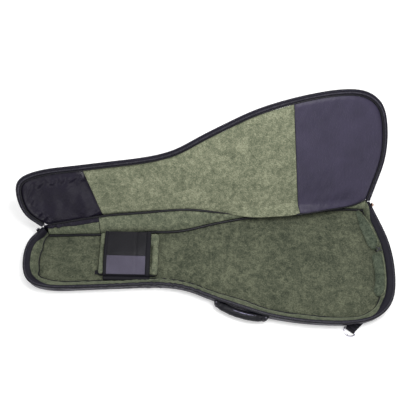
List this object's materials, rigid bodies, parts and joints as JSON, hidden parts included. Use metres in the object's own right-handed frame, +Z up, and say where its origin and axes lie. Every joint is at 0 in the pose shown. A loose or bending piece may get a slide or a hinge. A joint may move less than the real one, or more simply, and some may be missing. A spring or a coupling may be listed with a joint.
{
  "type": "padded instrument gig bag",
  "caption": "Padded soft case for a long-necked instrument, lying open on its back: deep tray, flat zipped front, neck cradle with strap, foot bumper, carry handle and strap rings.",
  "frame": {"origin": "on the flat underside of the back panel, on the neck axis, at the bag's mid length", "axes": "+X along the neck toward the foot end, -Y the zip side, +Y the hinge side, +Z up out of the tray"},
  "size_m": [1.2926, 0.7281, 0.401],
  "materials": {
    "shell_black": "woven polyester, matte",
    "plush_green": "short-nap plush",
    "nylon_purple": "smooth lining nylon",
    "nylon_black": "smooth lining nylon",
    "foam": "closed-cell foam",
    "piping_black": "piping cord cover",
    "zip_tape": "woven zip tape",
    "zip_coil": "nylon coil",
    "strap_black": "coated fabric",
    "webbing": "ribbed webbing",
    "grip": "padded grip fabric",
    "hook_loop": "hook and loop",
    "ring_metal": "polished nickel",
    "slider_metal": "plated zinc"
  },
  "bodies": {
    "tray": {"back_panel_shell": "shell_black", "back_panel_foam": "foam", "back_panel_lining": "plush_green", "back_seam_piping": "piping_black", "floor_seam_cord": "piping_black", "wall_shell": "shell_black", "wall_foam": "foam", "wall_lining": "plush_green", "hinge_gusset_shell": "shell_black", "hinge_gusset_foam": "foam", "hinge_gusset_lining": "plush_green", "tray_zip_tape": "zip_tape", "tray_zip_coil": "zip_coil", "foot_bumper_upper": "plush_green", "foot_bumper_lower": "plush_green", "foot_bumper_tuck": "plush_green", "neck_cradle_base": "plush_green", "neck_cradle_far_block": "plush_green", "neck_cradle_near_block": "plush_green", "neck_loop_patch": "hook_loop", "cradle_anchor_tab": "webbing", "handle_tabs": "webbing", "handle_rivets": "ring_metal", "near_strap_tab": "webbing", "far_strap_tab": "webbing", "foot_webbing_tab": "webbing"},
    "neck_strap": {"neck_strap_panel": "strap_black", "neck_strap_bindings": "piping_black", "neck_hook_patch": "hook_loop"},
    "handle": {"handle_grip": "grip", "handle_webbing_core": "webbing"},
    "near_ring": {"near_strap_ring": "ring_metal"},
    "far_ring": {"far_strap_ring": "ring_metal"},
    "foot_slider": {"foot_zip_slider": "slider_metal"},
    "foot_pull": {"foot_zip_pull": "slider_metal"},
    "head_slider": {"head_zip_slider": "slider_metal"},
    "head_pull": {"head_zip_pull": "slider_metal"},
    "front": {"front_shell": "shell_black", "front_foam": "foam", "front_inner_piping": "piping_black", "front_zip_tape": "zip_tape", "front_zip_coil": "zip_coil", "front_seam_piping": "piping_black", "front_lining_head": "nylon_black", "front_lining_centre": "plush_green", "front_lining_foot": "nylon_purple", "pocket_panel": "shell_black", "pocket_zip_tape": "zip_tape", "pocket_zip_coil": "zip_coil"},
    "pocket_slider": {"pocket_slider": "slider_metal"},
    "pocket_pull": {"pocket_pull": "slider_metal"}
  },
  "joints": [
    {"name": "front_hinge", "type": "hinge", "parent": "tray", "child": "front", "pos_m": [-0.557, 0.09, 0.06], "axis": [-0.9936, -0.1131, 0], "range_deg": [-126, 54]},
    {"name": "neck_strap_hinge", "type": "hinge", "parent": "tray", "child": "neck_strap", "pos_m": [-0.261, 0.082, 0.053], "axis": [-1, 0, 0], "range_deg": [0, 110]},
    {"name": "handle_swing", "type": "hinge", "parent": "tray", "child": "handle", "pos_m": [0.12375, -0.18438, 0.03], "axis": [-0.9591, 0.283, 0], "range_deg": [0, 80]},
    {"name": "near_ring_swing", "type": "hinge", "parent": "tray", "child": "near_ring", "pos_m": [0.497, -0.233, 0.0048], "axis": [-0.8191, 0.5736, 0], "range_deg": [0, 120]},
    {"name": "far_ring_swing", "type": "hinge", "parent": "tray", "child": "far_ring", "pos_m": [0.501, 0.258, 0.0048], "axis": [0.8191, 0.5736, 0], "range_deg": [0, 120]},
    {"name": "foot_zip_travel", "type": "slide", "parent": "tray", "child": "foot_slider", "axis": [0.324, -0.9461, 0], "range_m": [0, 0.034]},
    {"name": "foot_pull_swing", "type": "hinge", "parent": "foot_slider", "child": "foot_pull", "pos_m": [0.60505, 0.20787, 0.06], "axis": [0.324, -0.9461, 0], "range_deg": [0, 120]},
    {"name": "head_zip_travel", "type": "slide", "parent": "tray", "child": "head_slider", "axis": [-0.6198, -0.7848, 0], "range_m": [0, 0.018]},
    {"name": "head_pull_swing", "type": "hinge", "parent": "head_slider", "child": "head_pull", "pos_m": [-0.57178, 0.08129, 0.06], "axis": [0.6198, 0.7848, 0], "range_deg": [0, 120]},
    {"name": "pocket_zip_travel", "type": "slide", "parent": "front", "child": "pocket_slider", "axis": [0.1784, -0.5675, -0.8038], "range_m": [0, 0.17]},
    {"name": "pocket_pull_swing", "type": "hinge", "parent": "pocket_slider", "child": "pocket_pull", "pos_m": [0.17183, 0.36281, 0.23816], "axis": [0.9797, 0.1784, 0.0915], "range_deg": [-32, 140]}
  ]
}
